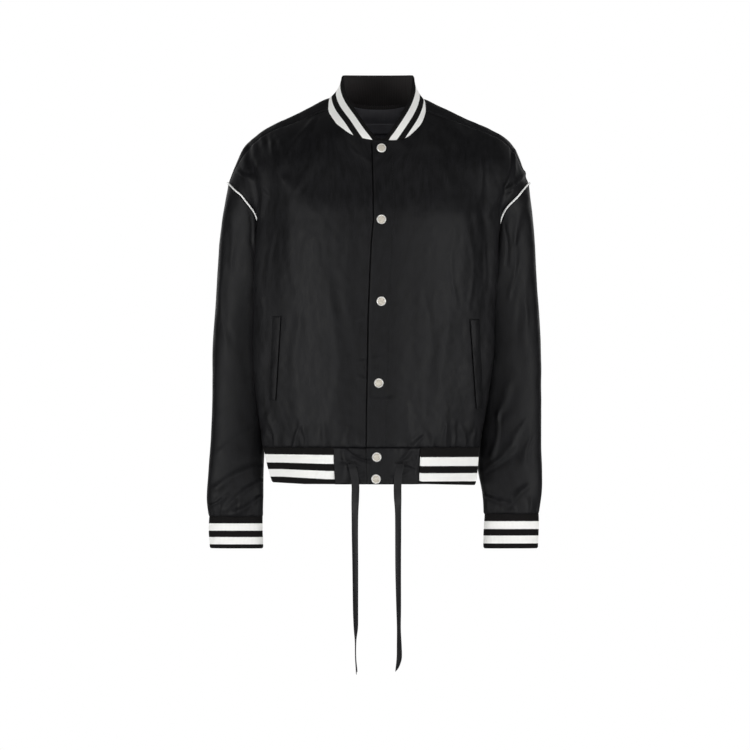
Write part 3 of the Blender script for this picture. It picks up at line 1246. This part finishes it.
def knit_group():
    """Knitted loops: slanting pairs of yarns down each wale, with fuzz."""
    tree, given, result = new_group("Rib knit", [
        ("Cloth", "NodeSocketVector", None), ("Wale", "NodeSocketFloat", 2.4), ("Course", "NodeSocketFloat", 1.1)],
        [("Height", "NodeSocketFloat", None), ("Shade", "NodeSocketFloat", None)])
    split = add_node(tree, "ShaderNodeSeparateXYZ", {0: given.outputs["Cloth"]})
    wales = maths(tree, "DIVIDE", split.outputs[0], given.outputs["Wale"])
    slant = maths(tree, "ABSOLUTE", maths(tree, "SUBTRACT", maths(tree, "FRACT", wales), 0.5))
    rows = maths(tree, "ADD", maths(tree, "DIVIDE", split.outputs[1], given.outputs["Course"]),
                 maths(tree, "MULTIPLY", slant, 1.4))
    loop = maths(tree, "ABSOLUTE", maths(tree, "SINE", maths(tree, "MULTIPLY", rows, 3.1416)))
    fuzz = add_node(tree, "ShaderNodeTexNoise", {"Vector": given.outputs["Cloth"], "Scale": 2.2, "Detail": 5.0})
    height = maths(tree, "ADD", loop, maths(tree, "MULTIPLY", fuzz.outputs[0], 0.5))
    tree.links.new(height, result.inputs["Height"])
    shade = maths(tree, "ADD", maths(tree, "MULTIPLY", loop, 0.25), maths(tree, "MULTIPLY", fuzz.outputs[0], 0.4))
    crown = maths(tree, "MULTIPLY", maths(tree, "SUBTRACT", 0.5, slant), 1.0)
    shade = maths(tree, "ADD", shade, crown)
    tree.links.new(shade, result.inputs["Shade"])
    return tree


def stripes_group():
    """A mask of two stripes by the distance down a knitted band, with edges that step from loop to loop."""
    sockets = [("Cloth", "NodeSocketVector", None)] + [
        (name, "NodeSocketFloat", 0.0) for name in ("First start", "First end", "Second start", "Second end")]
    tree, given, result = new_group("Knitted stripes", sockets, [("Mask", "NodeSocketFloat", None)])
    split = add_node(tree, "ShaderNodeSeparateXYZ", {0: given.outputs["Cloth"]})
    uneven = add_node(tree, "ShaderNodeTexNoise", {"Vector": given.outputs["Cloth"], "Scale": 0.5, "Detail": 2.0})
    down = maths(tree, "ADD", split.outputs[1], maths(tree, "MULTIPLY", maths(
        tree, "SUBTRACT", uneven.outputs[0], 0.5), 0.8))
    masks = []
    for which in ("First", "Second"):
        start, end = (given.outputs[which + edge] for edge in (" start", " end"))
        after = maths(tree, "MULTIPLY", maths(tree, "SUBTRACT", down, start), 4.0, clamp=True)
        before = maths(tree, "MULTIPLY", maths(tree, "SUBTRACT", end, down), 4.0, clamp=True)
        masks.append(maths(tree, "MULTIPLY", after, before))
    tree.links.new(maths(tree, "MAXIMUM", *masks), result.inputs["Mask"])
    return tree


def finish(name, colour, roughness, metallic=0.0, **constants):
    """A material with a Principled BSDF. Constants are set on the shader's own sockets."""
    made = bpy.data.materials.new(name)
    made.use_nodes = True
    shader = made.node_tree.nodes["Principled BSDF"]
    shader.inputs["Base Color"].default_value = linear(colour)
    shader.inputs["Roughness"].default_value = roughness
    shader.inputs["Metallic"].default_value = metallic
    for label, value in constants.items():
        shader.inputs[label.replace("_", " ")].default_value = value
    made.diffuse_color = linear(colour)
    return made.node_tree, shader


def placed(tree, group, **values):
    """The node group with the cloth coordinates and its own values."""
    cloth = add_node(tree, "ShaderNodeUVMap", uv_map="cloth")
    node = add_node(tree, "ShaderNodeGroup", node_tree=group)
    tree.links.new(cloth.outputs[0], node.inputs["Cloth"])
    for label, value in values.items():
        node.inputs[label.replace("_", " ")].default_value = value
    return node


def tint(tree, factor, first, second):
    node = add_node(tree, "ShaderNodeMix", data_type="RGBA")
    tree.links.new(factor, node.inputs[0])
    for index, value in ((6, first), (7, second)):
        if isinstance(value, bpy.types.NodeSocket):
            tree.links.new(value, node.inputs[index])
        else:
            node.inputs[index].default_value = linear(value)
    return node.outputs[2]


def bumped(tree, shader, height, distance, strength=1.0):
    bump = add_node(tree, "ShaderNodeBump", {"Height": height, "Distance": distance, "Strength": strength})
    tree.links.new(bump.outputs[0], shader.inputs["Normal"])


def satin_finish(name, dark, light, roughness, weave, yarns=3.0, slub=0.4, depth=0.00006, **constants):
    tree, shader = finish(name, dark, roughness, **constants)
    woven = placed(tree, weave, Yarns_per_mm=yarns, Slub=slub)
    tree.links.new(tint(tree, woven.outputs["Shade"], dark, light), shader.inputs["Base Color"])
    rough = maths(tree, "ADD", maths(tree, "MULTIPLY", woven.outputs["Shade"], 0.12), roughness - 0.06)
    tree.links.new(rough, shader.inputs["Roughness"])
    bumped(tree, shader, woven.outputs["Height"], depth)


def knit_finish(name, knit, wale, stripes=None, stripe_values=None):
    look = bpy.context.scene.jacket_rib
    dark, white = ([round(255 * v) for v in colour] for colour in (look.dark, look.white))
    if stripes is None:
        dark = [2.5 * v for v in dark]
    tree, shader = finish(name, dark, 0.88, Specular_IOR_Level=0.15)
    knitted = placed(tree, knit, Wale=wale)
    shade = tint(tree, knitted.outputs["Shade"], [0.55 * v for v in dark], [1.3 * v for v in dark])
    if stripes:
        mask = placed(tree, stripes, **dict(zip(
            ("First_start", "First_end", "Second_start", "Second_end"), stripe_values)))
        pale = tint(tree, knitted.outputs["Shade"], [0.93 * v for v in white], white)
        mixed = add_node(tree, "ShaderNodeMix", data_type="RGBA")
        for socket, index in ((mask.outputs["Mask"], 0), (shade, 6), (pale, 7)):
            tree.links.new(socket, mixed.inputs[index])
        shade = mixed.outputs[2]
    tree.links.new(shade, shader.inputs["Base Color"])
    bumped(tree, shader, knitted.outputs["Height"], 0.0002, 0.7)
    return shader


def make_finishes():
    weave, knit, stripes = weave_group(), knit_group(), stripes_group()
    satin = bpy.context.scene.jacket_satin
    colour = [round(255 * v) for v in satin.colour]
    lighter = [2.3 * v + 4 for v in colour]
    satin_finish("shell_satin", colour, lighter, satin.roughness, weave, Specular_IOR_Level=0.14, Anisotropic=0.3)
    satin_finish("facing_satin", (73, 73, 79), (84, 84, 90), 0.5, weave, slub=0.3)
    satin_finish("tape_satin", (14, 14, 15), (22, 22, 24), 0.55, weave, yarns=4.0, slub=0.15,
                 Specular_IOR_Level=0.22, Anisotropic=0.3)
    satin_finish("label_weave", (88, 88, 94), (100, 100, 106), 0.6, weave, yarns=5.0, slub=0.1, depth=0.00003)
    satin_finish("piping_satin", (236, 236, 234), (246, 246, 244), 0.4, weave, slub=0.1)
    finish("thread", (12, 12, 13), 0.6, Specular_IOR_Level=0.2)
    for name, wale, values in (
            ("collar_knit", 2.3, (8, 20, 30, 43)), ("hem_knit", 2.5, (12.6, 28.8, 41.4, 56.3)),
            ("cuff_knit_right", 2.4, (12, 25.4, 36.7, 50)), ("cuff_knit_left", 2.4, (13, 27.4, 39, 53.5))):
        knit_finish(name, knit, wale, stripes, values)
    inside = knit_finish("inner_knit", knit, 3.4)
    inside.inputs["Specular IOR Level"].default_value = 0.3
    finish("snap_metal", (240, 239, 235), 0.38, 0.55)
    finish("snap_pearl", (180, 174, 162), 0.35, Coat_Weight=0.2, Coat_Roughness=0.15)


# Stage

def make_stage():
    scene = bpy.context.scene
    look = scene.jacket_stage
    world = bpy.data.worlds.new("studio")
    world.use_nodes = True
    tree = world.node_tree
    sky = tree.nodes["Background"]
    sky.inputs[0].default_value = (1, 1, 1, 1)
    sky.inputs[1].default_value = look.fill
    backdrop = add_node(tree, "ShaderNodeBackground", {0: (1, 1, 1, 1), 1: 1.0})
    path = add_node(tree, "ShaderNodeLightPath")
    mixed = add_node(tree, "ShaderNodeMixShader", {0: path.outputs["Is Camera Ray"], 1: sky.outputs[0],
                                                   2: backdrop.outputs[0]})
    tree.links.new(mixed.outputs[0], tree.nodes["World Output"].inputs[0])
    scene.world = world
    scene.view_settings.view_transform = "Standard"

    floor = add_mesh("floor", np.array(((-7, -7, -1.5), (7, -7, -1.5), (7, 7, -1.5), (-7, 7, -1.5))) * 1000,
                     [(0, 1, 2, 3)])
    finish("floor_paper", (245, 245, 245), 0.9)
    floor.data.materials.append(bpy.data.materials["floor_paper"])

    for name, place, size, power in STUDIO_LIGHTS:
        light = bpy.data.lights.new(name, "AREA")
        light.shape = "RECTANGLE"
        light.size, light.size_y = size
        light.energy = power * look.light
        lamp = bpy.data.objects.new(name, light)
        lamp.location = place
        lamp.rotation_euler = (Vector(place) - Vector((0, 0, -0.42))).to_track_quat("Z", "Y").to_euler()
        scene.collection.objects.link(lamp)

    lens = bpy.data.cameras.new("camera")
    lens.lens = 36 * CAMERA_AWAY / 1.35
    camera = bpy.data.objects.new("camera", lens)
    camera.location = (-3.6 * MM, -CAMERA_AWAY, -486 * MM)
    camera.rotation_euler = (math.pi / 2, 0, 0)
    lens.clip_end = 100
    scene.collection.objects.link(camera)
    scene.camera = camera


CAMERA_AWAY = 30.0
# Name, place, width and height in metres, power in watts
STUDIO_LIGHTS = (
    ("key_left", (-3.0, -2.6, -0.5), (1.4, 2.0), 65),
    ("key_right", (3.0, -2.6, -0.5), (1.4, 2.0), 63),
    ("front", (0, -5.5, -1.7), (3.2, 1.2), 100),
    ("front_high", (0.3, -1.4, 3.4), (2.4, 0.8), 20),
    ("back", (0, 5.5, -1.7), (3.2, 1.2), 78),
    ("back_left", (-1.8, 2.6, 0.6), (1.2, 2.2), 15),
    ("back_right", (1.8, 2.6, 0.6), (1.2, 2.2), 15),
)


# Settings that a user would change

class JacketSatin(bpy.types.PropertyGroup):
    colour: bpy.props.FloatVectorProperty(
        name="Colour", description="Colour of the satin shell, in sRGB", default=(0.024, 0.025, 0.029),
        min=0, max=1, subtype="COLOR_GAMMA")
    roughness: bpy.props.FloatProperty(
        name="Roughness", description="Roughness of the satin's gloss", default=0.52, min=0.05, max=1,
        subtype="FACTOR")
    wall: bpy.props.FloatProperty(
        name="Thickness", description="Thickness of the satin shell with its lining", default=0.0009, min=0.0004,
        max=0.003, unit="LENGTH", precision=4)


class JacketRib(bpy.types.PropertyGroup):
    dark: bpy.props.FloatVectorProperty(
        name="Ground", description="Ground colour of the knitted bands, in sRGB", default=(0.056, 0.052, 0.050),
        min=0, max=1, subtype="COLOR_GAMMA")
    white: bpy.props.FloatVectorProperty(
        name="Stripes", description="Colour of the stripes, in sRGB", default=(0.955, 0.955, 0.945), min=0, max=1,
        subtype="COLOR_GAMMA")
    relief: bpy.props.FloatProperty(
        name="Relief", description="How far the wales stand out", default=0.0007, min=0, max=0.002, unit="LENGTH",
        precision=4)


class JacketTrim(bpy.types.PropertyGroup):
    tape_thickness: bpy.props.FloatProperty(
        name="Tape thickness", description="Thickness of the drawstring tapes", default=0.0007, min=0.0003,
        max=0.002, unit="LENGTH", precision=4)
    stitch: bpy.props.FloatProperty(
        name="Stitch length", description="Pitch of the topstitching", default=0.0032, min=0.002, max=0.006,
        unit="LENGTH", precision=4)


class JacketStage(bpy.types.PropertyGroup):
    fill: bpy.props.FloatProperty(
        name="Fill", description="Strength of the even light from all round", default=0.12, min=0, max=2)
    light: bpy.props.FloatProperty(
        name="Lights", description="Strength of the studio lights", default=1.3, min=0, max=4)


# Operators

BUILT = {}


class JACKET_OT_stage(bpy.types.Operator):
    """Add the floor, the lights and the camera"""
    bl_idname = "jacket.stage"
    bl_label = "Stage"

    def execute(self, context):
        make_stage()
        return {"FINISHED"}


class JACKET_OT_finishes(bpy.types.Operator):
    """Make the materials of the cloth, the ribs and the trims"""
    bl_idname = "jacket.finishes"
    bl_label = "Finishes"

    def execute(self, context):
        make_finishes()
        return {"FINISHED"}


class JACKET_OT_body(bpy.types.Operator):
    """Add the satin fronts, the back, the neck facing and its label"""
    bl_idname = "jacket.body"
    bl_label = "Body"

    def execute(self, context):
        BUILT["fronts"] = make_fronts()
        BUILT["back"] = make_back()
        return {"FINISHED"}


class JACKET_OT_sleeves(bpy.types.Operator):
    """Add the sleeves and the piping round the armholes"""
    bl_idname = "jacket.sleeves"
    bl_label = "Sleeves and piping"

    def execute(self, context):
        BUILT["sleeve_ends"] = make_sleeves()
        return {"FINISHED"}


class JACKET_OT_ribs(bpy.types.Operator):
    """Add the knitted collar, cuffs and hem band, and the satin ends of the hem band"""
    bl_idname = "jacket.ribs"
    bl_label = "Ribs"

    def execute(self, context):
        make_collar()
        make_cuffs(BUILT["sleeve_ends"])
        BUILT["tabs"] = make_hem()
        return {"FINISHED"}


class JACKET_OT_pockets(bpy.types.Operator):
    """Add the pocket welts and the topstitching"""
    bl_idname = "jacket.pockets"
    bl_label = "Pocket welts and topstitching"

    def execute(self, context):
        make_welts(surface_of(*BUILT["fronts"]))
        make_topstitching(BUILT["fronts"], BUILT["tabs"])
        return {"FINISHED"}


class JACKET_OT_snaps(bpy.types.Operator):
    """Add the snap caps down the placket"""
    bl_idname = "jacket.snaps"
    bl_label = "Snaps"

    def execute(self, context):
        make_snaps(surface_of(*BUILT["fronts"], *BUILT["tabs"]))
        return {"FINISHED"}


class JACKET_OT_tapes(bpy.types.Operator):
    """Add the two drawstring tapes and the buttonholes that they leave by"""
    bl_idname = "jacket.tapes"
    bl_label = "Drawstring tapes"

    def execute(self, context):
        make_tapes(surface_of(*BUILT["tabs"]))
        return {"FINISHED"}


class JACKET_PT_parts(bpy.types.Panel):
    """Lists the jacket's parts and their settings"""
    bl_label = "Varsity jacket"
    bl_space_type = "VIEW_3D"
    bl_region_type = "UI"
    bl_category = "Jacket"

    def draw(self, context):
        for group in SETTINGS:
            for name in SETTINGS[group].__annotations__:
                self.layout.prop(getattr(context.scene, group), name)
        for operator in OPERATORS:
            self.layout.operator(operator.bl_idname)


SETTINGS = {"jacket_satin": JacketSatin, "jacket_rib": JacketRib, "jacket_trim": JacketTrim,
            "jacket_stage": JacketStage}
OPERATORS = (JACKET_OT_stage, JACKET_OT_finishes, JACKET_OT_body, JACKET_OT_sleeves, JACKET_OT_ribs,
             JACKET_OT_pockets, JACKET_OT_snaps, JACKET_OT_tapes)


def register():
    for name, group in SETTINGS.items():
        bpy.utils.register_class(group)
        setattr(bpy.types.Scene, name, bpy.props.PointerProperty(type=group))
    for kind in (*OPERATORS, JACKET_PT_parts):
        bpy.utils.register_class(kind)


def unregister():
    for kind in (JACKET_PT_parts, *reversed(OPERATORS)):
        bpy.utils.unregister_class(kind)
    for name, group in SETTINGS.items():
        delattr(bpy.types.Scene, name)
        bpy.utils.unregister_class(group)


def main():
    register()
    for operator in OPERATORS:
        space, name = operator.bl_idname.split(".")
        getattr(getattr(bpy.ops, space), name)()


if __name__ == "__main__":
    main()
